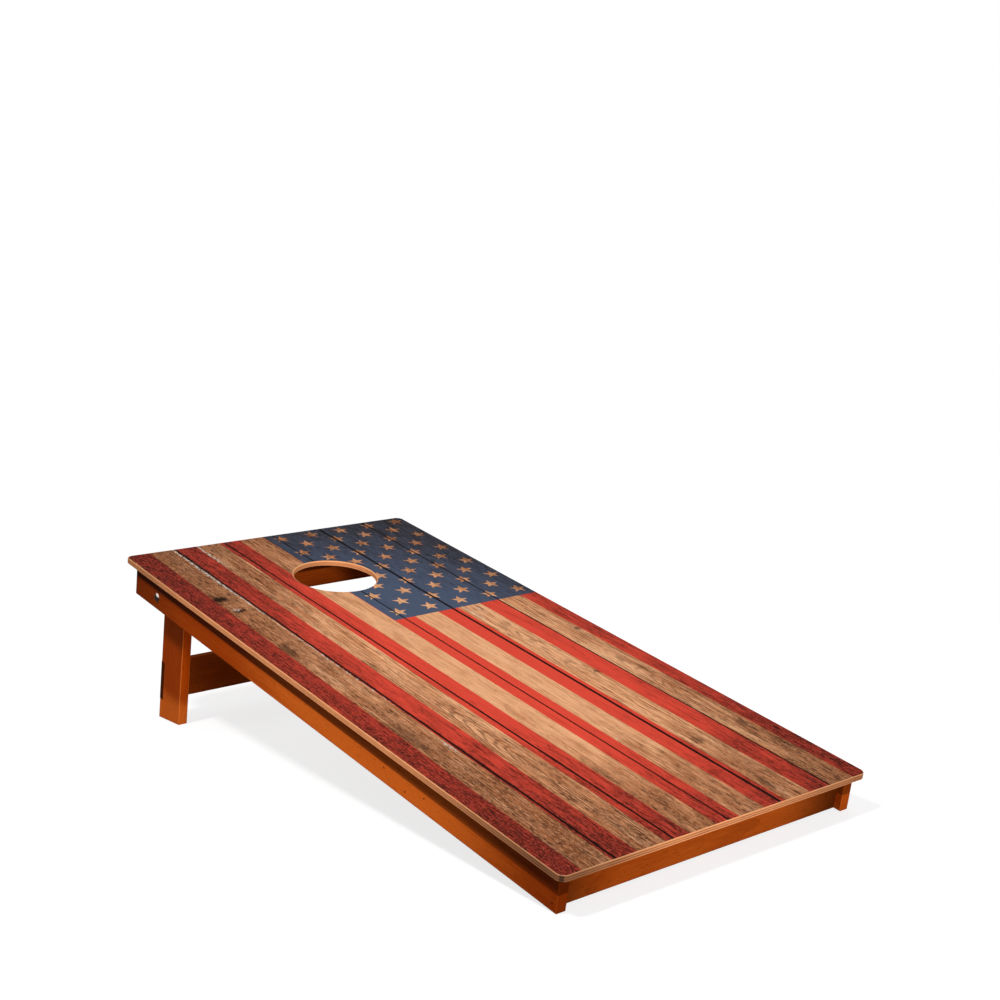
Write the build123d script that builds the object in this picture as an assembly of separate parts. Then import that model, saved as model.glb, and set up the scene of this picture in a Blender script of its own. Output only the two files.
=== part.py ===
from build123d import *
import os
from math import asin, atan2, cos, degrees, hypot, radians, sin, tan

# A regulation cornhole board: a plywood deck with a bag hole on a low wooden frame, raised at
# the hole end by a pair of legs that fold forward under the deck.
#
# Every piece is first built in deck coordinates: X runs across the board, Y runs along the deck
# from its front (low) edge to its rear edge, and Z = 0 is the deck's top face. One placement then
# tilts the whole board on to the ground: origin at the middle of its footprint, +Z up.
# Left is -X, seen by a player who stands at the front edge and looks at the hole.
# All sizes are in millimetres.

# Deck
deck_width = 609.6
deck_length = 1219.2
deck_thickness = 9.0
deck_corner_radius = 12.7
deck_edge_ease = 1.0
hole_diameter = 152.4
hole_from_rear = 228.6
hole_rim_ease = 2.0
rear_height = 310.0

# Printed top layer
print_thickness = 0.25
print_margin = 1.2
print_hole_margin = 2.4

# Frame
rail_thickness = 18.0
rail_depth = 56.0
rail_ease = 1.5
deck_side_overhang = 12.0
deck_front_overhang = 14.0
deck_rear_overhang = 23.0
end_rail_recess = 12.0
brace_depth = 40.0

# Leg pivot
pivot_from_rear = 104.0
pivot_below_deck_top = 42.5
pivot_block_thickness = 19.0
pivot_block_length = 100.0
block_leg_gap = 1.7
slip = 0.1

# Leg frame, measured from the pivot with the legs open
leg_thickness = 18.0
leg_front = 32.0
leg_rear = 42.0
leg_top = 32.0
leg_corner_ease = 10.0
lower_bar_thickness = 12.0
lower_bar_width = 75.0
lower_bar_drop = 147.5
upper_bar_thickness = 10.0
upper_bar_rear = 12.5
upper_bar_top = 20.0
upper_bar_bottom = -19.5

# Pivot hardware, M8
bolt_diameter = 8.0
bolt_hole_diameter = 8.2
bolt_head_diameter = 16.0
bolt_head_height = 4.0
bolt_neck_width = 8.0
bolt_neck_depth = 4.5
bolt_tip_beyond_nut = 3.0
thread_pitch = 1.25
thread_depth = 0.6
spacer_diameter = 24.0
spacer_thickness = 1.5
nut_washer_diameter = 16.0
nut_washer_thickness = 1.6
washer_bore = 8.4
nut_across_flats = 13.0
nut_height = 6.0
nut_collar_height = 2.0
nut_bore = 8.05
insert_diameter = 10.6

# Wood screws
screw_diameter = 3.5
pilot_clearance = 0.05
screw_head_diameter = 7.0
screw_head_height = 2.0
screw_point = 3.0
drive_width = 2.6
drive_depth = 1.2
pocket_diameter = 8.0
pocket_angle = 15.0
pocket_setback = 16.0
pocket_reach = 45.0
deck_screw_bite = 6.5
corner_screw_bite = 14.0
block_screw_length = 30.0
bar_screw_length = 35.0

# Worked-out places in deck coordinates
rail_top = -deck_thickness
rail_bottom = rail_top - rail_depth
rail_outer = deck_width / 2 - deck_side_overhang
rail_inner = rail_outer - rail_thickness
rail_front = deck_front_overhang
rail_rear = deck_length - deck_rear_overhang
front_rail_middle = rail_front + end_rail_recess + rail_thickness / 2
rear_rail_middle = rail_rear - end_rail_recess - rail_thickness / 2
brace_middle = deck_length / 2
hole_y = deck_length - hole_from_rear
pivot_y = deck_length - pivot_from_rear
pivot_z = -pivot_below_deck_top
block_inner = rail_inner - pivot_block_thickness
block_rear = rear_rail_middle - rail_thickness / 2
leg_outer = block_inner - block_leg_gap
leg_inner = leg_outer - leg_thickness
nut_face = leg_inner - slip - nut_washer_thickness
pilot_radius = screw_diameter / 2 + pilot_clearance
sides = {"left": -1, "right": 1}

# The deck's top rear edge stands at rear_height when the rails' front bottom edges touch the
# ground: run * sin(tilt) + stack * cos(tilt) = rear_height.
run = deck_length - rail_front
stack = -rail_bottom
tilt = asin(rear_height / hypot(run, stack)) - atan2(stack, run)


def ground_z(y):
    """Height of the ground, in deck coordinates, below a point at y along the deck."""
    return rail_bottom - tan(tilt) * (y - rail_front)


def box_between(x, y, z):
    """A box from three (low, high) pairs."""
    size = [high - low for low, high in (x, y, z)]
    middle = [(high + low) / 2 for low, high in (x, y, z)]
    return Pos(*middle) * Box(*size)


def plank(x, y, z, grain, ease=rail_ease, ends=None):
    """A board with its long edges, the ones along the grain axis, rounded over. ends names the
    axis of the end edges that are rounded too."""
    blank = box_between(x, y, z)
    edges = blank.edges().filter_by(grain)
    if ends is not None:
        edges = edges + blank.edges().filter_by(ends)
    return fillet(edges, ease)


def span(a, b):
    """Two numbers in rising order."""
    return (min(a, b), max(a, b))


def rod(diameter, length):
    """A cylinder that stands on the XY plane."""
    return extrude(Circle(diameter / 2), length)


def along(point, direction):
    """A location at point whose +Z looks along direction."""
    return Location(Plane(origin=point, z_dir=direction))


# Screws and the holes they need. Each is built at the origin, its shank along +Z.


def flat_head_screw(length):
    head = Cone(screw_head_diameter / 2, screw_diameter / 2, screw_head_height)
    head = Pos(0, 0, screw_head_height / 2) * head
    shank = rod(screw_diameter, length - screw_point)
    tip = Cone(screw_diameter / 2, 0.4, screw_point)
    tip = Pos(0, 0, length - screw_point / 2) * tip
    drive = Pos(0, 0, drive_depth / 2) * Box(drive_width, drive_width, drive_depth)
    return head + shank + tip - drive


def pan_head_screw(length):
    head = Pos(0, 0, -screw_head_height) * rod(screw_head_diameter, screw_head_height)
    head = fillet(head.edges().sort_by(Axis.Z)[:1], 0.8)
    shank = rod(screw_diameter, length - screw_point)
    tip = Cone(screw_diameter / 2, 0.4, screw_point)
    tip = Pos(0, 0, length - screw_point / 2) * tip
    drive_middle = drive_depth / 2 - screw_head_height
    drive = Pos(0, 0, drive_middle) * Box(drive_width, drive_width, drive_depth)
    return head + shank + tip - drive


def countersunk_hole(length):
    sink_radius = screw_head_diameter / 2 + pilot_clearance
    sink = Pos(0, 0, screw_head_height / 2) * Cone(sink_radius, pilot_radius, screw_head_height)
    return sink + rod(2 * pilot_radius, length + 0.5)


def pocket_hole(length):
    pocket = Pos(0, 0, -pocket_reach) * rod(pocket_diameter, pocket_reach)
    return pocket + rod(2 * pilot_radius, length + 0.5)


def pocket_place(joint, into, face):
    """Where a pocket screw's head sits: into is the unit direction across the joint and face is
    the outward normal of the face that the pocket is cut from."""
    slope = radians(pocket_angle)
    direction = Vector(*into) * cos(slope) - Vector(*face) * sin(slope)
    return along(Vector(*joint) - direction * pocket_setback, direction)


def deck_screw_places():
    """Pocket screws that come up through the frame's top edges into the deck."""
    up = (0, 0, 1)
    places = []
    for side in sides.values():
        for y in (150, 400, 780, 980):
            joint = (side * (rail_outer - rail_thickness / 2), y, rail_top)
            places.append(pocket_place(joint, up, (-side, 0, 0)))
    for x in (-150, 150):
        places.append(pocket_place((x, front_rail_middle, rail_top), up, (0, 1, 0)))
        places.append(pocket_place((x, rear_rail_middle, rail_top), up, (0, -1, 0)))
    return places


def corner_screw_places():
    """Two pocket screws at each end of the front rail, the rear rail and the brace."""
    cross_rails = (
        (front_rail_middle, 1, rail_depth),
        (rear_rail_middle, -1, rail_depth),
        (brace_middle, -1, brace_depth),
    )
    places = []
    for side in sides.values():
        for y, facing, depth in cross_rails:
            for share in (0.25, 0.75):
                joint = (side * rail_inner, y, rail_top - depth * share)
                places.append(pocket_place(joint, (side, 0, 0), (0, facing, 0)))
    return places


def block_screw_places():
    """Two screws from each pivot block's inner face into its side rail."""
    places = []
    for side in sides.values():
        for y in (block_rear - 82, block_rear - 16):
            point = (side * block_inner, y, rail_top - rail_depth / 2)
            places.append(along(point, (side, 0, 0)))
    return places


def bar_screw_places():
    """Screws that hold both crossbars to the legs."""
    places = []
    for side in sides.values():
        for share in (0.25, 0.75):
            x = side * (leg_outer - leg_thickness / 2)
            z = pivot_z - lower_bar_drop - lower_bar_width * share
            places.append(along((x, pivot_y + leg_rear, z), (0, -1, 0)))
        for rise in (9.0, -11.0):
            y = pivot_y - upper_bar_rear - upper_bar_thickness / 2
            places.append(along((side * leg_outer, y, pivot_z + rise), (-side, 0, 0)))
    return places


def group(places, fastener):
    """Separate copies of one fastener, kept together as one node."""
    return Compound(children=[place * fastener for place in places])


deck_cuts = [place * pocket_hole(pocket_setback + deck_screw_bite) for place in deck_screw_places()]
corner_cuts = [
    place * pocket_hole(pocket_setback + corner_screw_bite) for place in corner_screw_places()
]
block_cuts = [place * countersunk_hole(block_screw_length) for place in block_screw_places()]
bar_cuts = [place * countersunk_hole(bar_screw_length) for place in bar_screw_places()]


def drilled(piece, cuts):
    """Takes every cut out of the piece that it reaches."""
    for cut in cuts:
        piece = piece - cut
    return piece


def pivot_bore(side, diameter=bolt_hole_diameter):
    """A hole for the pivot bolt, long enough to pass the rail, the block and the leg."""
    length = rail_outer - nut_face + 40
    start = (side * (rail_outer + 10), pivot_y, pivot_z)
    return along(start, (-side, 0, 0)) * rod(diameter, length)


# Board


def make_deck_panel():
    outline = RectangleRounded(deck_width, deck_length, deck_corner_radius)
    panel = Pos(0, deck_length / 2, -deck_thickness) * extrude(outline, deck_thickness)
    panel = fillet(panel.edges().group_by(Axis.Z)[-1], deck_edge_ease)
    panel = panel - Pos(0, hole_y, -deck_thickness) * rod(hole_diameter, deck_thickness)
    rims = panel.edges().filter_by(GeomType.CIRCLE).filter_by(
        lambda edge: abs(edge.radius - hole_diameter / 2) < 0.01
    )
    panel = fillet(rims.sort_by(Axis.Z)[-1:], hole_rim_ease)
    return drilled(panel, deck_cuts)


def make_deck_graphic():
    width = deck_width - 2 * print_margin
    length = deck_length - 2 * print_margin
    outline = RectangleRounded(width, length, deck_corner_radius - print_margin)
    hole = Pos(0, hole_y) * Circle(hole_diameter / 2 + print_hole_margin)
    return extrude(Pos(0, deck_length / 2) * outline - hole, print_thickness)


def make_side_rail(side):
    x = span(side * rail_inner, side * rail_outer)
    rail = plank(x, (rail_front, rail_rear), (rail_bottom, rail_top), Axis.Y, ends=Axis.Z)
    neck_x = span(side * (rail_outer - bolt_neck_depth - slip), side * rail_outer)
    half = bolt_neck_width / 2 + slip
    neck = box_between(neck_x, (pivot_y - half, pivot_y + half), (pivot_z - half, pivot_z + half))
    return drilled(rail - neck - pivot_bore(side), deck_cuts + corner_cuts + block_cuts)


def make_cross_rail(middle, depth):
    y = (middle - rail_thickness / 2, middle + rail_thickness / 2)
    rail = plank((-rail_inner, rail_inner), y, (rail_top - depth, rail_top), Axis.X)
    return drilled(rail, deck_cuts + corner_cuts)


def make_pivot_block(side):
    x = span(side * block_inner, side * rail_inner)
    y = (block_rear - pivot_block_length, block_rear)
    block = plank(x, y, (rail_bottom, rail_top), Axis.Y)
    return drilled(block - pivot_bore(side), block_cuts)


# Leg frame


def make_leg(side):
    heel = ground_z(pivot_y + leg_rear) - pivot_z
    toe = ground_z(pivot_y - leg_front) - pivot_z
    corners = [(0, leg_top), (leg_rear, leg_top), (leg_rear, heel), (-leg_front, toe), (-leg_front, 0)]
    outline = make_face(Polyline(*corners) + CenterArc((0, 0), leg_front, 90, 90))
    top_corner = outline.vertices().sort_by(Axis.Y)[-2:].sort_by(Axis.X)[-1:]
    outline = fillet(top_corner, leg_corner_ease)
    inner_x = leg_inner if side > 0 else -leg_outer
    leg = extrude(Plane.YZ * outline, leg_thickness)
    leg = Pos(inner_x, pivot_y, pivot_z) * leg
    rims = leg.faces().filter_by(Axis.X).edges()
    leg = fillet(rims, rail_ease)
    notch_top = pivot_z - lower_bar_drop
    notch = box_between(
        (-leg_outer, leg_outer),
        (pivot_y + leg_rear - lower_bar_thickness, pivot_y + leg_rear + 1),
        (notch_top - lower_bar_width, notch_top),
    )
    return drilled(leg - notch - pivot_bore(side), bar_cuts)


def make_lower_crossbar():
    rear = pivot_y + leg_rear
    top = pivot_z - lower_bar_drop
    bar = plank(
        (-leg_outer, leg_outer),
        (rear - lower_bar_thickness, rear),
        (top - lower_bar_width, top),
        Axis.X,
        1.0,
    )
    return drilled(bar, bar_cuts)


def make_upper_crossbar():
    rear = pivot_y - upper_bar_rear
    bar = plank(
        (-leg_inner, leg_inner),
        (rear - upper_bar_thickness, rear),
        (pivot_z + upper_bar_bottom, pivot_z + upper_bar_top),
        Axis.X,
        1.0,
    )
    return drilled(bar, bar_cuts)


# Pivot hardware, built along +Z from the rail's outer face and turned to point inwards


def hardware_place(side, distance):
    """A location on the pivot axis, this far from the middle of the board, looking inwards."""
    return along((side * distance, pivot_y, pivot_z), (-side, 0, 0))


def make_pivot_bolt(side):
    reach = rail_outer - nut_face + nut_height + nut_collar_height + bolt_tip_beyond_nut
    radius = bolt_diameter / 2
    head_radius = bolt_head_diameter / 2
    dome_radius = (head_radius**2 + bolt_head_height**2) / (2 * bolt_head_height)
    dome = Pos(0, 0, dome_radius - bolt_head_height) * Sphere(dome_radius)
    dome = dome & Pos(0, 0, -bolt_head_height) * rod(bolt_head_diameter + 10, bolt_head_height)
    neck = Pos(0, 0, bolt_neck_depth / 2) * Box(bolt_neck_width, bolt_neck_width, bolt_neck_depth)
    shank = chamfer(rod(bolt_diameter, reach).edges().sort_by(Axis.Z)[-1:], 0.8)
    bolt = dome + neck + shank
    groove = Polyline(
        (radius + 0.3, -thread_pitch / 2),
        (radius - thread_depth, 0),
        (radius + 0.3, thread_pitch / 2),
        close=True,
    )
    ring = revolve(Plane.XZ * make_face(groove), Axis.Z)
    for turn in range(2):
        bolt = bolt - Pos(0, 0, reach - 1.4 - turn * thread_pitch) * ring
    return hardware_place(side, rail_outer) * bolt


def make_washer(side, distance, diameter, thickness):
    washer = rod(diameter, thickness) - rod(washer_bore, thickness)
    return hardware_place(side, distance) * washer


def make_lock_nut(side):
    """A hexagon nut with a round collar that holds its nylon insert."""
    body = extrude(RegularPolygon(nut_across_flats / 2, 6, major_radius=False), nut_height)
    cone_height = 14.0
    crown = Pos(0, 0, cone_height / 2) * Cone(cone_height, 1.0, cone_height)
    body = body & Pos(0, 0, nut_height - 8.0) * crown
    collar = Pos(0, 0, nut_height - 1) * rod(nut_across_flats - 1, nut_collar_height + 1)
    collar = fillet(collar.edges().sort_by(Axis.Z)[-1:], 0.8)
    seat = Pos(0, 0, nut_height - 0.5) * rod(insert_diameter, nut_collar_height)
    lip = rod(nut_bore + 1.2, nut_height + nut_collar_height)
    nut = body + collar - seat - rod(nut_bore, nut_height) - Pos(0, 0, nut_height) * lip
    return hardware_place(side, nut_face) * nut


def make_nut_insert(side):
    ring = Pos(0, 0, nut_height - 0.5) * (rod(insert_diameter, 1.9) - rod(nut_bore, 1.9))
    return hardware_place(side, nut_face) * ring


def make_board():
    """Every piece by node name, in deck coordinates."""
    pieces = {
        "deck_panel": make_deck_panel(),
        "deck_graphic": make_deck_graphic(),
        "front_rail": make_cross_rail(front_rail_middle, rail_depth),
        "rear_rail": make_cross_rail(rear_rail_middle, rail_depth),
        "centre_brace": make_cross_rail(brace_middle, brace_depth),
        "upper_crossbar": make_upper_crossbar(),
        "lower_crossbar": make_lower_crossbar(),
    }
    spacer_face = block_inner - slip
    washer_face = leg_inner - slip
    for name, side in sides.items():
        pieces[name + "_side_rail"] = make_side_rail(side)
        pieces[name + "_pivot_block"] = make_pivot_block(side)
        pieces[name + "_leg"] = make_leg(side)
        pieces[name + "_pivot_bolt"] = make_pivot_bolt(side)
        pieces[name + "_spacer_washer"] = make_washer(
            side, spacer_face, spacer_diameter, spacer_thickness
        )
        pieces[name + "_nut_washer"] = make_washer(
            side, washer_face, nut_washer_diameter, nut_washer_thickness
        )
        pieces[name + "_lock_nut"] = make_lock_nut(side)
        pieces[name + "_nut_insert"] = make_nut_insert(side)
    pieces["deck_screws"] = group(
        deck_screw_places(), pan_head_screw(pocket_setback + deck_screw_bite)
    )
    pieces["corner_screws"] = group(
        corner_screw_places(), pan_head_screw(pocket_setback + corner_screw_bite)
    )
    pieces["block_screws"] = group(block_screw_places(), flat_head_screw(block_screw_length))
    pieces["crossbar_screws"] = group(bar_screw_places(), flat_head_screw(bar_screw_length))
    return pieces


pieces = make_board()
tilted_deck = (Rot(degrees(tilt), 0, 0) * pieces["deck_panel"]).bounding_box()
middle_y = (tilted_deck.min.Y + tilted_deck.max.Y) / 2
lift = stack * cos(tilt) - rail_front * sin(tilt)
stand = Pos(0, -middle_y, lift) * Rot(degrees(tilt), 0, 0)

os.makedirs("parts", exist_ok=True)
for name, piece in pieces.items():
    export_step(stand * piece, f"parts/{name}.step")

pivot = stand * Pos(0, pivot_y, pivot_z)
hole_centre = stand * Pos(0, hole_y, 0)
print("tilt", round(degrees(tilt), 4))
print("pivot", pivot.position)
print("hole centre", hole_centre.position)
print("foot", (stand * Pos(leg_outer - 9, pivot_y + 8, ground_z(pivot_y + 8))).position)
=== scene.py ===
import math
from dataclasses import dataclass

import bpy
from mathutils import Euler, Matrix, Vector


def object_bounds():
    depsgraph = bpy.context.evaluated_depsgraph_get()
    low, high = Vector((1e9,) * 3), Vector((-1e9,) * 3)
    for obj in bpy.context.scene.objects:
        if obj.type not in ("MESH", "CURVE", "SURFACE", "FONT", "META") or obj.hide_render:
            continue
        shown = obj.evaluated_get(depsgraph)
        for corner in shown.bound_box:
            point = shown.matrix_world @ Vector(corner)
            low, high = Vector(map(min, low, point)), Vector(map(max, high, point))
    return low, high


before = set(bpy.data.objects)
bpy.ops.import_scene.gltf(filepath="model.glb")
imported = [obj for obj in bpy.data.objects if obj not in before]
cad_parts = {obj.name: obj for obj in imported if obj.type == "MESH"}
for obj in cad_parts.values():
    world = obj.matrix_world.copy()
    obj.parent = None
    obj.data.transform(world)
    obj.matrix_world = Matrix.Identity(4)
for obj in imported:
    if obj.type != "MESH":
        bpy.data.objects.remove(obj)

cad_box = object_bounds()

# The deck's own coordinates, in millimetres: LEFT from its left edge, BACK from its rear edge and
# RISE above its top face. The deck slopes, so they come from the printed layer's large flat face.
DECK_WIDTH = 609.6
DECK_LENGTH = 1219.2
DECK_THICKNESS = 9.0
PRINT_MARGIN = 1.2
PRINT_THICKNESS = 0.25


def deck_axes():
    """Slope of the deck in radians, and the row-frame point at its top face's rear left corner."""
    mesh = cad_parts["deck_graphic"].data
    face = max(mesh.polygons, key=lambda polygon: polygon.area)
    normal = face.normal if face.normal.z > 0 else -face.normal
    slope = math.atan2(-normal.y, normal.z)
    uphill = Vector((0, math.cos(slope), math.sin(slope)))
    normal = Vector((0, -math.sin(slope), math.cos(slope)))
    rear = max(vertex.co.dot(uphill) for vertex in mesh.vertices) + PRINT_MARGIN / 1000
    top = max(vertex.co.dot(normal) for vertex in mesh.vertices) - PRINT_THICKNESS / 1000
    corner = uphill * rear + normal * top
    corner.x = -DECK_WIDTH / 2000
    return slope, corner


DECK_SLOPE, REAR_LEFT = deck_axes()


def srgb(red, green, blue):
    """A display colour, 0 to 255, as the linear colour that shaders use."""
    linear = []
    for value in (red, green, blue):
        share = value / 255
        linear.append(share / 12.92 if share <= 0.04045 else ((share + 0.055) / 1.055) ** 2.4)
    return (*linear, 1.0)


# ---------------------------------------------------------------------------------------------
# Node trees written as arithmetic
# ---------------------------------------------------------------------------------------------


class Signal:
    """A number in a node tree. Arithmetic on it adds math nodes."""

    def __init__(self, shader, socket):
        self.shader = shader
        self.socket = socket

    def __add__(self, other):
        return self.shader.math("ADD", self, other)

    def __sub__(self, other):
        return self.shader.math("SUBTRACT", self, other)

    def __rsub__(self, other):
        return self.shader.math("SUBTRACT", other, self)

    def __mul__(self, other):
        return self.shader.math("MULTIPLY", self, other)

    def __truediv__(self, other):
        return self.shader.math("DIVIDE", self, other)

    def __pow__(self, other):
        return self.shader.math("POWER", self, other)

    __radd__ = __add__
    __rmul__ = __mul__

    def above(self, limit):
        """1 where this is above the limit, otherwise 0."""
        return self.shader.math("GREATER_THAN", self, limit)

    def abs(self):
        return self.shader.math("ABSOLUTE", self)

    def floor(self):
        return self.shader.math("FLOOR", self)

    def fraction(self):
        return self.shader.math("FRACT", self)

    def sine(self):
        return self.shader.math("SINE", self)

    def root(self):
        return self.shader.math("SQRT", self)

    def larger(self, other):
        return self.shader.math("MAXIMUM", self, other)

    def fade(self, start, end):
        """0 at start, 1 at end, smooth between; end may be below start."""
        return self.shader.fade(self, start, end)

    def within(self, low, high, soft=0.4):
        """1 between low and high, 0 outside, with edges this soft."""
        rising = self.fade(low - soft, low + soft)
        return rising * self.fade(high + soft, high - soft)


class Shader:
    """One procedural material. Every method returns something that later ones can take."""

    def __init__(self, name):
        self.material = bpy.data.materials.new(name)
        self.material.use_nodes = True
        self.tree = self.material.node_tree
        self.tree.nodes.clear()
        self.coordinates = self.node("ShaderNodeTexCoord")

    def node(self, kind, inputs=None, **settings):
        node = self.tree.nodes.new(kind)
        for name, value in settings.items():
            setattr(node, name, value)
        for name, value in (inputs or {}).items():
            self.feed(node.inputs[name], value)
        return node

    def feed(self, socket, value):
        if isinstance(value, Signal):
            value = value.socket
        if isinstance(value, bpy.types.NodeSocket):
            self.tree.links.new(value, socket)
        else:
            socket.default_value = value

    def math(self, operation, *values):
        return Signal(self, self.node(
            "ShaderNodeMath", dict(enumerate(values)), operation=operation
        ).outputs[0])

    def fade(self, value, start, end):
        # A smooth step needs rising limits, so a falling one is turned round.
        falling = not isinstance(start, Signal) and not isinstance(end, Signal) and end < start
        low, high = (end, start) if falling else (start, end)
        node = self.node(
            "ShaderNodeMapRange",
            {"Value": value, "From Min": low, "From Max": high},
            interpolation_type="SMOOTHSTEP",
        )
        result = Signal(self, node.outputs["Result"])
        return 1.0 - result if falling else result

    def vector(self, x=0.0, y=0.0, z=0.0):
        return self.node("ShaderNodeCombineXYZ", {"X": x, "Y": y, "Z": z}).outputs[0]

    def parts(self, vector):
        node = self.node("ShaderNodeSeparateXYZ", {"Vector": vector})
        return [Signal(self, socket) for socket in node.outputs]

    def noise(self, x, y, z, detail=2.0, roughness=0.5):
        """Cloudy noise around 0.5; x, y and z are already divided by the feature size wanted."""
        node = self.node(
            "ShaderNodeTexNoise",
            {
                "Vector": self.vector(x, y, z),
                "Scale": 1.0,
                "Detail": detail,
                "Roughness": roughness,
            },
        )
        return Signal(self, node.outputs["Fac"])

    def random(self, value, seed=0.0):
        """One steady random number from 0 to 1 for each whole value."""
        node = self.node(
            "ShaderNodeTexWhiteNoise", {"Vector": self.vector(value, seed, 0.5)},
            noise_dimensions="3D",
        )
        return Signal(self, node.outputs["Value"])

    def mix(self, share, first, second, blend="MIX"):
        node = self.node("ShaderNodeMix", data_type="RGBA", blend_type=blend)
        self.feed(node.inputs[0], share)
        self.feed(node.inputs[6], first)
        self.feed(node.inputs[7], second)
        return node.outputs[2]

    def scale_color(self, color, amount):
        """The colour times a brightness signal."""
        grey = self.node("ShaderNodeCombineColor", {"Red": amount, "Green": amount, "Blue": amount})
        return self.mix(1.0, color, grey.outputs[0], "MULTIPLY")

    def deck_vector(self, kind="Object"):
        """Object coordinates, or Normal ones, turned into the deck's axes."""
        turned = self.node(
            "ShaderNodeVectorRotate",
            {"Vector": self.coordinates.outputs[kind], "Angle": -DECK_SLOPE},
            rotation_type="X_AXIS",
        ).outputs[0]
        return self.parts(turned)

    def deck_position(self):
        """LEFT, BACK and RISE of the shaded point, in millimetres."""
        x, y, z = self.deck_vector()
        corner = Matrix.Rotation(-DECK_SLOPE, 3, "X") @ REAR_LEFT
        return (x - corner.x) * 1000, (corner.y - y) * 1000, (z - corner.z) * 1000

    def millimetres(self):
        """Object coordinates in millimetres."""
        return [part * 1000 for part in self.parts(self.coordinates.outputs["Object"])]

    def finish(self, color, roughness=0.5, bump=None, bump_mm=0.1, **inputs):
        """The material, with inputs for its shading node such as Specular_IOR_Level."""
        shading = self.node("ShaderNodeBsdfPrincipled")
        self.feed(shading.inputs["Base Color"], color)
        self.feed(shading.inputs["Roughness"], roughness)
        for name, value in inputs.items():
            self.feed(shading.inputs[name.replace("_", " ")], value)
        if bump is not None:
            relief = self.node(
                "ShaderNodeBump", {"Height": bump, "Distance": bump_mm / 1000, "Strength": 1.0}
            )
            self.feed(shading.inputs["Normal"], relief.outputs[0])
        output = self.node("ShaderNodeOutputMaterial")
        self.tree.links.new(shading.outputs[0], output.inputs["Surface"])
        return self.material


# ---------------------------------------------------------------------------------------------
# The printed deck face: six weathered planks with a faded flag painted on them
# ---------------------------------------------------------------------------------------------

# The painted picture is laid a little to the right, and narrows towards the rear.
PICTURE_SHIFT = 4.5
PICTURE_MIDDLE = 320.0
REAR_TAPER = -0.0265
TAPER_PER_MM = 0.0000346
ROW_SKEW = 0.015

STRIPE_PERIOD = 96.4
STRIPE_WIDTH = 44.7
STRIPE_START = -9.5
CANTON_LEFT = 280.6
CANTON_BACK = 445.3

STAR_LEFT = 309.0
STAR_BACK = 25.0
STAR_STEP_LEFT = 69.5
STAR_STEP_BACK = 78.4
STAR_RADIUS = 17.6
STAR_NOTCH = 0.40
STAR_TURN = math.radians(5)

# Gaps between planks: LEFT at the rear edge, LEFT at the front edge, width.
SEAMS = (
    (98.5, 94.5, 4.2),
    (201.8, 200.5, 3.8),
    (306.8, 308.4, 3.0),
    (412.3, 415.5, 5.4),
    (514.5, 524.3, 3.2),
)

# Knots: LEFT, BACK, half width, half length, darkness.
KNOTS = (
    (54, 247, 24, 17, 1.0),
    (63, 304, 17, 10, 0.85),
    (52, 480, 15, 40, 0.60),
    (50, 810, 16, 70, 0.50),
    (566, 606, 8, 10, 0.70),
    (474, 760, 9, 7, 0.65),
    (446, 1022, 12, 18, 0.55),
    (392, 1108, 12, 14, 0.75),
    (440, 1168, 8, 26, 0.55),
    (556, 1010, 12, 20, 0.45),
    (238, 1030, 16, 30, 0.30),
)

# Arched growth rings that point to the rear: middle, BACK of the first peak, length, darkness.
ARCHES = (
    (160, 735, 290, 1.0),
    (64, 310, 300, 0.8),
    (452, 545, 260, 0.5),
    (352, 930, 260, 0.45),
    (548, 700, 300, 0.65),
)
ARCH_SPACING = 36.0
ARCH_CURVE = 0.27

# Places where pale chips show: LEFT, BACK, half width, half length, amount.
CHIPS = (
    (94.0, 150, 4.5, 260, 1.0),
    (93.0, 540, 4.0, 240, 0.75),
    (87.0, 868, 4.5, 30, 0.9),
    (145.0, 50, 5.0, 85, 0.9),
    (436.0, 480, 5.0, 55, 0.8),
    (457.0, 468, 4.0, 35, 0.7),
    (60.0, 298, 12.0, 7, 0.9),
    (335.0, 960, 3.0, 3, 1.0),
    (528.0, 700, 4.0, 60, 0.7),
)

TAN_LIGHT = srgb(236, 178, 132)
TAN_MIDDLE = srgb(192, 122, 78)
RED_PAINT = srgb(216, 70, 52)
BLUE_PAINT = srgb(72, 83, 105)
WOOD_GRIME = srgb(84, 38, 15)
RED_GRIME = srgb(62, 22, 13)
BLUE_GRIME = srgb(50, 42, 40)
DARK_GRAIN = srgb(54, 27, 15)
RED_GRAIN = srgb(46, 15, 11)
TAN_GLINT = srgb(208, 150, 110)
RED_SPECKLE = srgb(188, 76, 62)
BLUE_GRAIN = srgb(26, 20, 18)
ARCH_BROWN = srgb(92, 47, 26)
KNOT_BROWN = srgb(40, 21, 13)
RED_KNOT = srgb(70, 24, 18)
CHIP_WHITE = srgb(198, 190, 182)
SEAM_DARK = srgb(18, 9, 6)

# Ellipses round the cleanest part of the deck, and of the blue corner: middle, half sizes.
CLEAN_MIDDLE = (350, 625)
CLEAN_SIZE = (315, 600)
BLUE_CLEAN_MIDDLE = (330, 500)
BLUE_CLEAN_SIZE = (330, 520)


def picture_position(left, back):
    """A deck point's place in the painted picture, as LEFT and BACK of the untapered picture."""
    taper = back * TAPER_PER_MM + REAR_TAPER
    across = (left - PICTURE_SHIFT + taper * PICTURE_MIDDLE) / (taper + 1.0)
    return across, back + (left - PICTURE_MIDDLE) * ROW_SKEW


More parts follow.
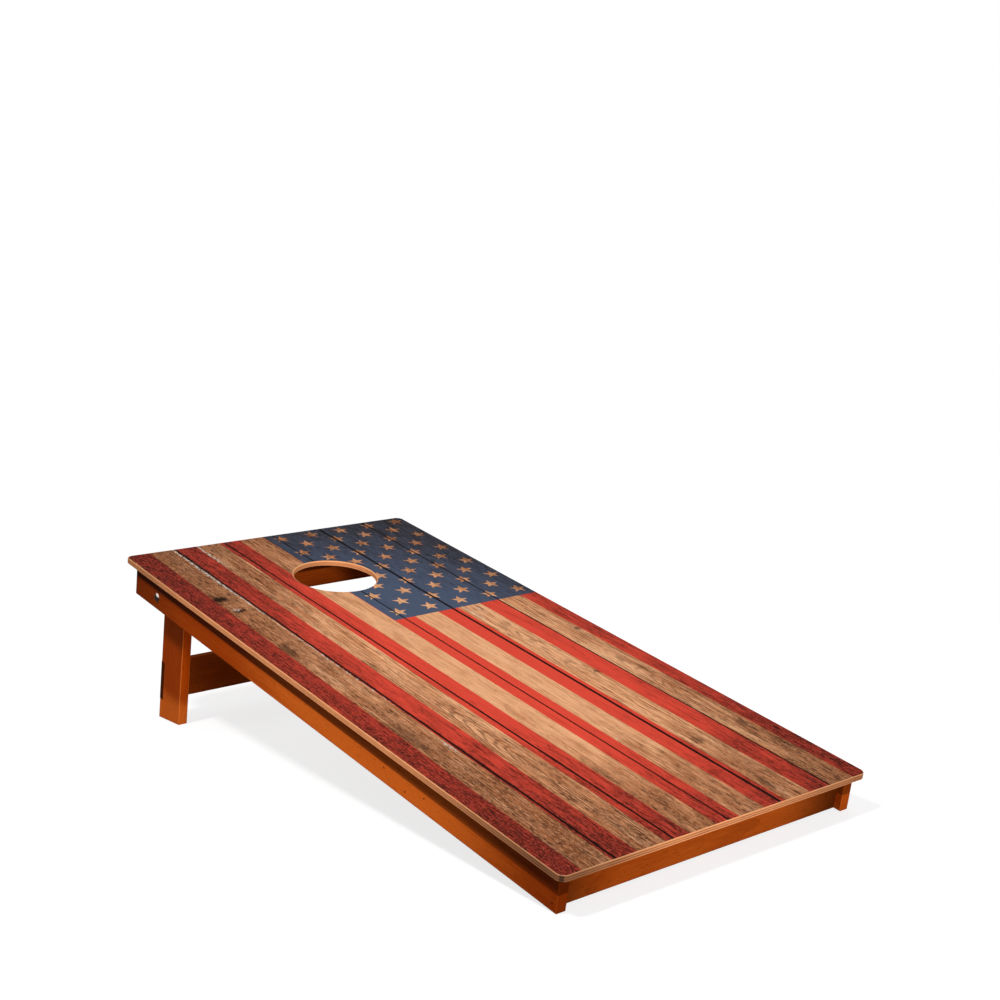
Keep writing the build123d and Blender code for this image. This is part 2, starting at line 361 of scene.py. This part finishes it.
def star_grid(shader, left, back, first_left, first_back):
    """Five-pointed stars on a rectangular grid, one point towards the right edge."""
    u = ((left - first_left) / STAR_STEP_LEFT + 0.5).fraction() - 0.5
    v = ((back - first_back) / STAR_STEP_BACK + 0.5).fraction() - 0.5
    u = u * STAR_STEP_LEFT
    v = v * -STAR_STEP_BACK
    radius = (u * u + v * v).root()
    fifth = 2 * math.pi / 5
    turn = shader.math("ARCTAN2", v, u) - STAR_TURN
    folded = ((turn / fifth + 0.5).fraction() - 0.5).abs() * fifth
    along = radius * shader.math("COSINE", folded)
    beside = radius * shader.math("SINE", folded)
    # The straight edge runs from the point at (STAR_RADIUS, 0) to the notch.
    notch = STAR_RADIUS * STAR_NOTCH
    edge_along = notch * math.cos(fifth / 2) - STAR_RADIUS
    edge_beside = notch * math.sin(fifth / 2)
    length = math.hypot(edge_along, edge_beside)
    outside = (beside * -edge_along + (along - STAR_RADIUS) * edge_beside) / length
    return outside.fade(0.45, -0.45)


def star_mask(shader, left, back):
    """Every star: one grid, and a second one shifted by half a step both ways."""
    even = star_grid(shader, left, back, STAR_LEFT, STAR_BACK)
    odd_left = STAR_LEFT + STAR_STEP_LEFT / 2
    odd_back = STAR_BACK + STAR_STEP_BACK / 2
    odd = star_grid(shader, left, back, odd_left, odd_back)
    odd = odd * left.within(odd_left - STAR_STEP_LEFT / 2, odd_left + 3.5 * STAR_STEP_LEFT)
    odd = odd * back.within(odd_back - STAR_STEP_BACK / 2, odd_back + 4.5 * STAR_STEP_BACK)
    return even.larger(odd)


def plank_seams(shader, left, back):
    """The number of the plank under a point, and the dark gaps between planks."""
    share = back / DECK_LENGTH
    wander = (shader.noise(0.0, back / 70, 4.0, 3) - 0.5) * 1.2
    plank = left * 0.0
    gaps = left * 0.0
    for rear, front, width in SEAMS:
        across = left + wander - (share * (front - rear) + rear)
        plank = plank + across.above(0.0)
        gaps = gaps.larger(across.abs().fade(width / 2 + 0.45, width / 2 - 0.45))
    return plank, gaps


def ellipse(left, back, place, size):
    """0 at the place, 1 on an ellipse of these half sizes, and more outside."""
    x = (left - place[0]) / size[0]
    y = (back - place[1]) / size[1]
    return (x * x + y * y).root()


def knot_marks(shader, left, back):
    """Dark knots with ragged outlines and a ring around each."""
    ragged = (shader.noise(left / 5, back / 9, 2.0, 3, 0.7) - 0.5) * 1.5
    marks = left * 0.0
    for x, y, half_width, half_length, darkness in KNOTS:
        away = ellipse(left, back, (x, y), (half_width, half_length)) + ragged
        heart = away.fade(1.05, 0.35) * darkness
        ring = away.within(1.25, 1.42, 0.12) * (darkness * 0.45)
        marks = marks.larger(heart).larger(ring)
    return marks


def arch_marks(shader, left, back, layer):
    """Nested arched growth rings down the middle of some planks."""
    sway = (shader.noise(left / 30, back / 110, layer, 3) - 0.5) * 110.0
    marks = left * 0.0
    for middle, peak, length, darkness in ARCHES:
        x = left - middle
        rings = (back - peak - x * x * ARCH_CURVE + sway) / ARCH_SPACING
        line = rings.fraction().within(0.66, 0.98, 0.12)
        area = rings.fade(-0.6, 0.2) * x.abs().fade(29.0, 20.0)
        area = area * back.fade(peak + length, peak + length * 0.6) * darkness
        marks = marks.larger(line * area)
    return marks


def chip_marks(shader, left, back):
    flake = shader.noise(left / 2.6, back / 9, 6.0, 3, 0.7)
    amount = left * 0.0
    for x, y, half_width, half_length, strength in CHIPS:
        away = ellipse(left, back, (x, y), (half_width, half_length))
        amount = amount.larger(away.fade(1.3, 0.5) * strength)
    return (flake + amount * 0.24).fade(0.70, 0.76)


class Planks:
    """Signals that every colour on the printed face shares."""

    def __init__(self, shader):
        self.shader = shader
        self.left, self.back, _ = shader.deck_position()
        self.plank, self.gaps = plank_seams(shader, self.left, self.back)
        # Each plank takes its noise from its own layer, and the outer planks are rougher.
        self.layer = self.plank * 17.3
        self.rough = (self.plank - 2.4).abs().fade(0.2, 1.4) * 0.7 + 0.3
        self.fibre = self.noise(1.5, 140, 0, 3, 0.6)
        self.blotch = self.noise(13, 60, 3, 3, 0.6) - 0.5
        self.streak = self.noise(2.2, 90, 7, 3, 0.65) - 0.5
        self.flecks = self.noise(2.0, 28, 13, 3, 0.7).fade(0.42, 0.58)
        self.knots = knot_marks(shader, self.left, self.back)

        # Grime gathers towards the edges in streaks along the grain.
        broad = self.noise(75, 170, 0, 2) - 0.5
        radius = ellipse(self.left, self.back, CLEAN_MIDDLE, CLEAN_SIZE)
        clouded = radius + broad * 0.45 + self.blotch * 0.70
        self.grime = (clouded + self.streak * 1.2).fade(0.38, 1.42)
        self.worn = clouded.fade(0.35, 1.15)

        # Open pores and longer gashes, with more of both where the face is worn.
        pore = self.noise(1.8, 20, 0, 2, 0.7)
        self.pores = shader.fade(pore, 0.66 - self.worn * 0.13, 0.70 - self.worn * 0.11)
        gash = self.noise(2.6, 42, 11, 3, 0.65)
        self.gashes = shader.fade(gash, 0.68 - self.worn * 0.11, 0.73 - self.worn * 0.10)
        self.pits = self.pores.larger(self.gashes)

    def noise(self, width, length, offset, detail, roughness=0.5):
        """Noise whose features are this wide across a plank and this long along it, in mm."""
        x = self.left / width
        y = self.back / length
        return self.shader.noise(x, y, self.layer + offset, detail, roughness)

    def dirtied(self, color, dirt, dark, share):
        soiled = self.shader.mix(self.grime * share, color, dirt)
        return self.shader.mix(self.pits * (self.worn * 0.3 + 0.5), soiled, dark)

    def bare_wood(self):
        """Fine fibres and soft bands, then grime, dashes, pale glints, arches and knots."""
        mix = self.shader.mix
        band = self.noise(5, 230, 0, 3, 0.55) - 0.5
        grain = (self.fibre - 0.5) * self.rough * 3.0 + band * self.rough * 1.5
        tone = grain + self.blotch * 0.5 + self.worn * 0.35
        wood = mix((tone + 0.42).fade(0.1, 1.0), TAN_LIGHT, TAN_MIDDLE)
        gleam = self.noise(1.6, 90, 5, 2, 0.7).fade(0.42, 0.60)
        wood = self.dirtied(wood, WOOD_GRIME, DARK_GRAIN, 0.82 - gleam * 0.32)
        dash = self.noise(1.5, 40, 21, 2, 0.6).fade(0.56, 0.63)
        wood = mix(dash * (self.rough * 0.70), wood, DARK_GRAIN)
        glint = self.noise(2.6, 9, 37, 2, 0.7).fade(0.53, 0.60)
        wood = mix(glint * self.worn * 0.36, wood, TAN_GLINT)
        arches = arch_marks(self.shader, self.left, self.back, self.layer)
        wood = mix(arches * 0.55, wood, ARCH_BROWN)
        return mix(self.knots, wood, KNOT_BROWN)

    def red_paint(self):
        """Red that has gone dark with grime, with pale speckles where it is worn."""
        mix = self.shader.mix
        red = self.shader.scale_color(RED_PAINT, 1.04 - self.fibre.fade(0.35, 0.8) * 0.16)
        red = self.dirtied(red, RED_GRIME, RED_GRAIN, 1.14 - self.flecks * 0.46)
        speckle = self.noise(2.6, 7, 31, 2, 0.7).fade(0.50, 0.57)
        red = mix(speckle * self.worn * 0.40, red, RED_SPECKLE)
        return mix(self.knots * 0.55, red, RED_KNOT)

    def blue_paint(self):
        """Blue that is cleanest at its front left corner and dirtiest at the rear right one."""
        mix = self.shader.mix
        blue = self.shader.scale_color(BLUE_PAINT, 1.05 - self.fibre.fade(0.35, 0.8) * 0.18)
        corner = ellipse(self.left, self.back, BLUE_CLEAN_MIDDLE, BLUE_CLEAN_SIZE)
        corner = corner + self.blotch * 0.5 + self.streak * 0.4
        soiled = corner.fade(0.25, 1.25) * (1.0 - self.flecks * 0.35)
        blue = mix(soiled * 0.95, blue, BLUE_GRIME)
        return mix(self.pits * 0.75, blue, BLUE_GRAIN)


def make_printed_face():
    shader = Shader("printed_planks")
    planks = Planks(shader)
    across, down = picture_position(planks.left, planks.back)
    stripe = ((across - STRIPE_START) / STRIPE_PERIOD).fraction() * STRIPE_PERIOD
    stripe = stripe.within(0.0, STRIPE_WIDTH)
    canton = across.fade(CANTON_LEFT - 0.4, CANTON_LEFT + 0.4)
    canton = canton * down.fade(CANTON_BACK + 0.4, CANTON_BACK - 0.4)
    star = star_mask(shader, across, down)

    wood = planks.bare_wood()
    starry = shader.mix(star, planks.blue_paint(), wood)
    paint = shader.mix(canton, planks.red_paint(), starry)
    color = shader.mix(stripe.larger(canton), wood, paint)
    chips = chip_marks(shader, planks.left, planks.back)
    color = shader.mix(chips * 0.8, color, CHIP_WHITE)
    color = shader.mix(planks.gaps, color, SEAM_DARK)

    hollow = planks.pores * 0.5 + planks.gashes * 0.4 + planks.gaps * 1.2
    height = planks.fibre * 0.5 + chips * 0.3 - hollow
    roughness = 0.5 + (planks.fibre - 0.5) * 0.2 + planks.grime * 0.1
    return shader.finish(color, roughness, height, 0.10, Specular_IOR_Level=0.04)


# ---------------------------------------------------------------------------------------------
# Plywood, stained wood, metal and nylon
# ---------------------------------------------------------------------------------------------

PLY_COUNT = 5
PLY_PALE = srgb(255, 172, 112)
PLY_PALE_STREAK = srgb(236, 149, 95)
PLY_END = srgb(190, 118, 76)
PLY_END_STREAK = srgb(150, 88, 54)
GLUE_BROWN = srgb(126, 70, 42)
FACE_LIGHT = srgb(226, 178, 130)
FACE_DARK = srgb(200, 148, 100)
FACE_STAIN = srgb(178, 122, 76)

# The plywood's edge is dark at the tip of the front left corner, and darkens near three corners:
# LEFT, BACK, half width, half length, darkness.
DARK_TIP = (3.7, DECK_LENGTH - 3.7)
EDGE_DARK_PATCHES = (
    (0, DECK_LENGTH, 230, 380, 0.68),
    (DECK_WIDTH, DECK_LENGTH, 300, 300, 0.42),
    (0, 0, 120, 330, 0.40),
)


def ply_edge(shader, left, back, rise):
    """Colour and height of the plywood's edge, with its plies, glue lines and darker patches."""
    wave = (shader.noise(left / 90, back / 90, 1.0, 2) - 0.5) * 0.5
    depth = (wave - rise) / DECK_THICKNESS * PLY_COUNT
    ply = depth.floor()
    cross = (ply * 0.5).fraction().fade(0.2, 0.3)
    glue = (depth.fraction() - 0.5).abs().fade(0.36, 0.50)

    # Long fibres show on the even plies, and dark open ends on the odd ones.
    lengthwise = shader.noise(left / 14, back / 14, rise / 0.4, 4, 0.6)
    open_end = shader.noise(left / 0.8, back / 0.8, rise / 0.6, 3, 0.7)
    pale = shader.mix(lengthwise.fade(0.3, 0.7), PLY_PALE, PLY_PALE_STREAK)
    dark = shader.mix(open_end.fade(0.3, 0.7), PLY_END, PLY_END_STREAK)
    patch = shader.noise(left / 60, back / 60, 5.0, 3).fade(0.4, 0.65)
    line_strength = patch * 0.4 + back.fade(850.0, 1150.0) * 0.45 + 0.15
    edge = shader.mix(cross * line_strength, pale, dark)
    edge = shader.mix(glue * 0.3, edge, GLUE_BROWN)
    edge = shader.scale_color(edge, 0.94 + shader.random(ply, 2.0) * 0.12)

    # The edge is darker at the front left tip and near three corners.
    dirt = ellipse(left, back, DARK_TIP, (8.5, 8.5)).fade(1.1, 0.2) * 0.9
    for x, y, half_width, half_length, darkness in EDGE_DARK_PATCHES:
        away = ellipse(left, back, (x, y), (half_width, half_length))
        dirt = dirt.larger(away.fade(1.0, 0.0) * darkness)
    return shader.scale_color(edge, 1.0 - dirt), open_end * cross + lengthwise * 0.4


def ply_face(shader, left, back):
    """Colour and height of rotary-cut birch, with soft, wandering figure."""
    drift = shader.noise(left / 80, back / 300, 3.0, 3) - 0.5
    figure = ((left + drift * 160) / 18 + shader.noise(left / 30, back / 160, 7.0, 3) * 2).sine()
    fibre = shader.noise(left / 0.8, back / 45, 2.0, 4, 0.6)
    face = shader.mix(figure * 0.25 + fibre * 0.5, FACE_LIGHT, FACE_DARK)
    stain = shader.noise(left / 70, back / 110, 5.0, 3).fade(0.4, 0.7)
    return shader.mix(stain * 0.35, face, FACE_STAIN), fibre


def make_plywood():
    shader = Shader("birch_plywood")
    left, back, rise = shader.deck_position()
    _, _, up = shader.deck_vector("Normal")
    edge, edge_height = ply_edge(shader, left, back, rise)
    face, face_height = ply_face(shader, left, back)
    flat = up.abs().fade(0.8, 0.97)
    color = shader.mix(flat, edge, face)
    height = shader.mix(flat, edge_height.socket, face_height.socket)
    return shader.finish(color, 0.6, height, 0.12, Specular_IOR_Level=0.2)


# The deck's shadow on the boards under it is painted in. It ends at this RISE, or, on a board that
# runs forward, at one that goes from the first at the rear edge to the second at the front.
UNDER_DECK_REAR = -28.0
UNDER_DECK_FRONT = -38.0
STAIN_LIGHT = srgb(232, 110, 34)
STAIN_DARK = srgb(172, 64, 4)
STAIN_GRAIN = srgb(84, 28, 5)
ARRIS_WEAR_AND_HIGHLIGHT = srgb(228, 130, 62)
END_GRAIN = srgb(66, 26, 9)
RING_SPACING = 3.7


@dataclass
class Board:
    """How one board is cut and stained, and the light and shade painted on it. The run is the
    distance along its grain, in mm.
    """

    grain: str  # the deck axis that the fibres follow: left, back or rise
    tone: float = 0.4  # 0 for dark stain, 1 for light
    peak: float | None = None  # the run at which the board is lightest: a painted pool of light
    reach: float = 600.0  # how far the painted light goes on each side of the peak
    gain: float = 0.0  # how much the tone rises at the peak, by painted light
    edge: float = 0.25  # how much the pale arrises show: rubbed stain and a painted highlight
    shade: float = 1.0  # brightness; below 1 is painted shade
    ends: tuple | None = None  # painted shade: loss of brightness at the start and at the end of the run
    front: float = 0.0  # painted light: extra brightness of faces that look forward
    cut: float = 0.3  # darkness of the end grain


def board_shade(board, back, rise, normal_back, run):
    """Painted light and shade: a shadow under the overhang, shade towards the ends, light on faces
    to the front, and the board's own shade.
    """
    forward = back * (1 / DECK_LENGTH if board.grain == "back" else 0.0)
    hidden = rise - (forward * (UNDER_DECK_FRONT - UNDER_DECK_REAR) + UNDER_DECK_REAR)
    shadow = hidden.fade(-1.5, 1.5) * (0.74 - forward * 0.22)
    # Painted light on faces that look forward, stronger higher up.
    painted_front_light = (normal_back * -1.0).fade(0.6, 0.9) * (rise.fade(-330.0, -130.0) * 1.4 + 0.2)
    shade = (1.0 - shadow) * (painted_front_light * board.front + board.shade)
    # Painted shade towards the start and the end of the run.
    if board.ends:
        share = run / (DECK_LENGTH if board.grain == "back" else DECK_WIDTH)
        near, far = board.ends
        shade = shade * (1.0 - share.fade(0.24, 0.025) * near)
        shade = shade * (1.0 - share.fade(0.72, 0.975) * far)
    return shade


def growth_rings(shader, run, first, second, seed):
    """Saw-toothed rings round a distant heart, which run almost straight along the board."""
    bend = (shader.noise(run / 330, seed, 0.0, 2) - 0.5) * 7
    swirl = (shader.noise(run / 120, first / 40, second / 40 + seed, 2) - 0.5) * 1.6
    x = first + bend + 61.0 + seed * 7.0
    y = second - bend * 0.6 + 43.0
    rings = ((x * x + y * y).root() + swirl) / RING_SPACING
    return rings.fraction() ** 2.5


def make_stained_wood(name, board, seed):
    """Orange-brown stained pine with fibres along the board's grain axis, and painted light and
    shade.
    """
    shader = Shader(name)
    position = dict(zip(("left", "back", "rise"), shader.deck_position()))
    normal = dict(zip(("left", "back", "rise"), shader.deck_vector("Normal")))
    run = position[board.grain]
    shade = board_shade(board, position["back"], position["rise"], normal["back"], run)
    end_face = normal.pop(board.grain).abs().fade(0.6, 0.9)
    first, second = [place for axis, place in position.items() if axis != board.grain]
    side, cap = [part.abs() for part in normal.values()]
    edge = side.larger(cap).larger(end_face).fade(0.99, 0.90)

    ring = growth_rings(shader, run, first, second, seed)
    fibre = shader.noise(run / 60, first / 0.9, second / 0.9 + seed, 4, 0.6)
    cloud = shader.noise(run / 150, first / 40, second / 40 + seed, 3, 0.55)
    pore = shader.noise(run / 14, first / 1.1, second / 1.1 + seed, 2, 0.6).fade(0.60, 0.68)
    speck = shader.noise(run / 9 + 20.0, first / 7, second / 7 + seed, 1).fade(0.745, 0.79)

    tone = board.tone
    # A painted pool of light lifts the tone round the peak.
    if board.peak is not None:
        away = (run - board.peak) / board.reach
        tone = (away * away).fade(1.0, 0.0) * board.gain + tone
    light = tone - ring * 0.2 - (fibre - 0.5) * 0.9 - (cloud - 0.5) * 0.7
    color = shader.mix(light.fade(-0.1, 1.1), STAIN_DARK, STAIN_LIGHT)
    color = shader.mix(pore * 0.45, color, STAIN_GRAIN)
    color = shader.mix(speck * 0.75, color, STAIN_GRAIN)
    # Pale arrises: rubbed stain, with a painted highlight along the edges.
    color = shader.mix(edge * board.edge, color, ARRIS_WEAR_AND_HIGHLIGHT)
    color = shader.mix(end_face * board.cut, color, END_GRAIN)
    # The painted light and shade from board_shade.
    color = shader.scale_color(color, shade)
    height = fibre * 0.6 + ring * 0.3 - pore * 0.5
    roughness = 0.5 + fibre * 0.14 + end_face * 0.2
    return shader.finish(color, roughness, height, 0.10, Specular_IOR_Level=0.02)


def metal_marks(shader):
    """Light blotches, and fine scratches."""
    x, y, z = shader.millimetres()
    blotch = shader.noise(x / 3, y / 3, z / 3, 3)
    return blotch, shader.noise(x / 0.15, y / 2.0, z / 2.0, 3, 0.7)


def make_metal(name, tint, roughness):
    """Plated steel."""
    shader = Shader(name)
    blotch, scratch = metal_marks(shader)
    color = shader.scale_color(tint, 0.78 + blotch * 0.3)
    rough = roughness + (blotch - 0.5) * 0.15 + (scratch - 0.5) * 0.12
    return shader.finish(color, rough, scratch, 0.02, Metallic=1.0)


def make_black_oxide():
    """Blackened steel, with a highlight painted on the upper front of each domed head."""
    shader = Shader("black_oxide")
    blotch, scratch = metal_marks(shader)
    _, back, up = shader.parts(shader.coordinates.outputs["Normal"])
    glint = (up * 0.75 - back * 0.65 + (blotch - 0.5) * 0.2).fade(0.38, 0.66)
    black = shader.scale_color(srgb(76, 66, 60), 0.78 + blotch * 0.3)
    color = shader.mix(glint, black, srgb(250, 240, 228))
    rough = 0.34 + (scratch - 0.5) * 0.12
    return shader.finish(color, rough, scratch, 0.02, Metallic=1.0 - glint * 0.8)


def make_nylon():
    shader = Shader("nylon")
    x, y, z = shader.millimetres()
    grain = shader.noise(x / 0.4, y / 0.4, z / 0.4, 2)
    color = shader.mix(grain, srgb(44, 86, 158), srgb(58, 104, 180))
    return shader.finish(color, 0.45, grain, 0.03)


# ---------------------------------------------------------------------------------------------
# Which piece gets which material
# ---------------------------------------------------------------------------------------------

# The shade, front, peak, gain and ends settings below are painted light and shade.
LEFT_RAIL = Board("back", tone=0.12, peak=775, reach=450, gain=0.88, edge=0.15, ends=(0.5, 0.38),
                  cut=0.25)
RIGHT_RAIL = Board("back", tone=0.35, peak=775, reach=450, gain=0.4, edge=0.15, ends=(0.5, 0.0),
                   cut=0.15)
CROSS_RAIL = Board("left", tone=0.3, peak=DECK_WIDTH / 2, reach=420, gain=0.4, edge=0.15,
                   shade=0.66, ends=(0.68, 0.78))
UPPER_BAR = Board("left", tone=0.3, edge=0.1, shade=0.54)
LOWER_BAR = Board("left", tone=0.6, edge=0.0, shade=0.76, cut=0.92)
PIVOT_BLOCK = Board("back", tone=0.1, edge=0.15)
LEG = Board("rise", tone=0.12, peak=-290, reach=60, gain=0.95, edge=0.6, shade=0.86, front=0.8,
            cut=0.1)

WOODEN_PIECES = {
    "left_side_rail": LEFT_RAIL,
    "right_side_rail": RIGHT_RAIL,
    "front_rail": CROSS_RAIL,
    "rear_rail": CROSS_RAIL,
    "centre_brace": CROSS_RAIL,
    "left_pivot_block": PIVOT_BLOCK,
    "right_pivot_block": PIVOT_BLOCK,
    "left_leg": LEG,
    "right_leg": LEG,
    "upper_crossbar": UPPER_BAR,
    "lower_crossbar": LOWER_BAR,
}


def paint_node(name, material):
    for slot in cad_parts[name].material_slots:
        slot.material = material


def paint_everything():
    paint_node("deck_graphic", make_printed_face())
    paint_node("deck_panel", make_plywood())
    for number, (name, board) in enumerate(WOODEN_PIECES.items()):
        paint_node(name, make_stained_wood("stained_" + name, board, 1.7 * number + 0.3))
    black = make_black_oxide()
    zinc = make_metal("zinc_plate", srgb(150, 148, 144), 0.26)
    yellow = make_metal("yellow_zinc_plate", srgb(206, 178, 112), 0.34)
    nylon = make_nylon()
    for side in ("left", "right"):
        paint_node(f"{side}_pivot_bolt", black)
        for part in ("spacer_washer", "nut_washer", "lock_nut"):
            paint_node(f"{side}_{part}", zinc)
        paint_node(f"{side}_nut_insert", nylon)
    for part in ("deck_screws", "corner_screws", "block_screws", "crossbar_screws"):
        paint_node(part, yellow)


# ---------------------------------------------------------------------------------------------
# Floor, light and camera
# ---------------------------------------------------------------------------------------------


FLOOR_REACH = 40.0
FLOOR_DROP = 0.0005
WHITE = srgb(255, 255, 255)


def make_floor_material():
    """White to the camera far away, pale grey near the board, and a dim grey to the light.

    It is clear from below, so that a camera under the floor still sees the board's underside.
    """
    shader = Shader("pale_floor")

    def diffuse(color):
        return shader.node("ShaderNodeBsdfDiffuse", {"Color": color}).outputs[0]

    def emission(strength):
        inputs = {"Color": WHITE, "Strength": strength}
        return shader.node("ShaderNodeEmission", inputs).outputs[0]

    def blend(share, first, second):
        return shader.node("ShaderNodeMixShader", {0: share, 1: first, 2: second}).outputs[0]

    x, y, z = shader.parts(shader.coordinates.outputs["Object"])
    cloud = shader.noise(x * 2, y * 2, z, 2)
    paper = shader.mix(cloud, srgb(148, 148, 148), srgb(152, 152, 152))
    lit = shader.node("ShaderNodeAddShader", {0: diffuse(paper), 1: emission(0.78)}).outputs[0]
    near = (x * x + y * y).root().fade(3.2, 0.9)
    sweep = blend(near, emission(1.0), lit)
    seen = shader.node("ShaderNodeLightPath").outputs["Is Camera Ray"]
    above = blend(seen, diffuse(srgb(150, 150, 150)), sweep)
    below = shader.node("ShaderNodeNewGeometry").outputs["Backfacing"]
    surface = blend(below, above, shader.node("ShaderNodeBsdfTransparent").outputs[0])
    output = shader.node("ShaderNodeOutputMaterial")
    shader.tree.links.new(surface, output.inputs["Surface"])
    return shader.material


def make_floor():
    mesh = bpy.data.meshes.new("floor")
    signs = ((-1, -1), (1, -1), (1, 1), (-1, 1))
    corners = [(x * FLOOR_REACH, y * FLOOR_REACH, 0) for x, y in signs]
    mesh.from_pydata(corners, [], [(0, 1, 2, 3)])
    mesh.materials.append(make_floor_material())
    floor = bpy.data.objects.new("floor", mesh)
    floor.location.z = cad_box[0][2] - FLOOR_DROP
    bpy.context.scene.collection.objects.link(floor)


def make_light(name, place, target, size, power, gloss=True):
    data = bpy.data.lights.new(name, "AREA")
    data.shape = "DISK"
    data.size = size
    data.energy = power
    light = bpy.data.objects.new(name, data)
    light.location = place
    light.rotation_euler = (Vector(target) - Vector(place)).to_track_quat("-Z", "Y").to_euler()
    light.visible_glossy = gloss
    bpy.context.scene.collection.objects.link(light)


def make_world():
    """White where the camera sees it, and a dim even fill everywhere else."""
    world = bpy.data.worlds.new("studio")
    bpy.context.scene.world = world
    world.use_nodes = True
    nodes = world.node_tree.nodes
    links = world.node_tree.links
    background = nodes["Background"]
    background.inputs["Color"].default_value = WHITE
    strength = nodes.new("ShaderNodeMapRange")
    strength.inputs["To Min"].default_value = 0.25
    strength.inputs["To Max"].default_value = 1.0
    path = nodes.new("ShaderNodeLightPath")
    links.new(path.outputs["Is Camera Ray"], strength.inputs["Value"])
    links.new(strength.outputs["Result"], background.inputs["Strength"])


def make_camera():
    data = bpy.data.cameras.new("camera")
    data.lens = 57.07
    data.sensor_width = 36.0
    data.shift_x = -0.0046
    data.shift_y = -0.0154
    data.clip_end = 200
    camera = bpy.data.objects.new("camera", data)
    camera.location = (-1.5556, -2.0359, 0.8367)
    camera.rotation_euler = Euler([math.radians(angle) for angle in (81.804, 1.049, -39.281)])
    bpy.context.scene.collection.objects.link(camera)
    bpy.context.scene.camera = camera


BOARD_MIDDLE = (0, 0, 0.15)

paint_everything()
make_floor()
make_world()
make_light("upper_left_key", (-2.09, -0.33, 3.68), BOARD_MIDDLE, 0.5, 104)
make_light("front_softbox", (-0.9, -4.80, 1.30), BOARD_MIDDLE, 2.0, 142)
make_light("rear_right_fill", (3.0, 3.0, 1.40), BOARD_MIDDLE, 2.0, 60, gloss=False)
make_camera()
bpy.context.scene.view_settings.view_transform = "Standard"
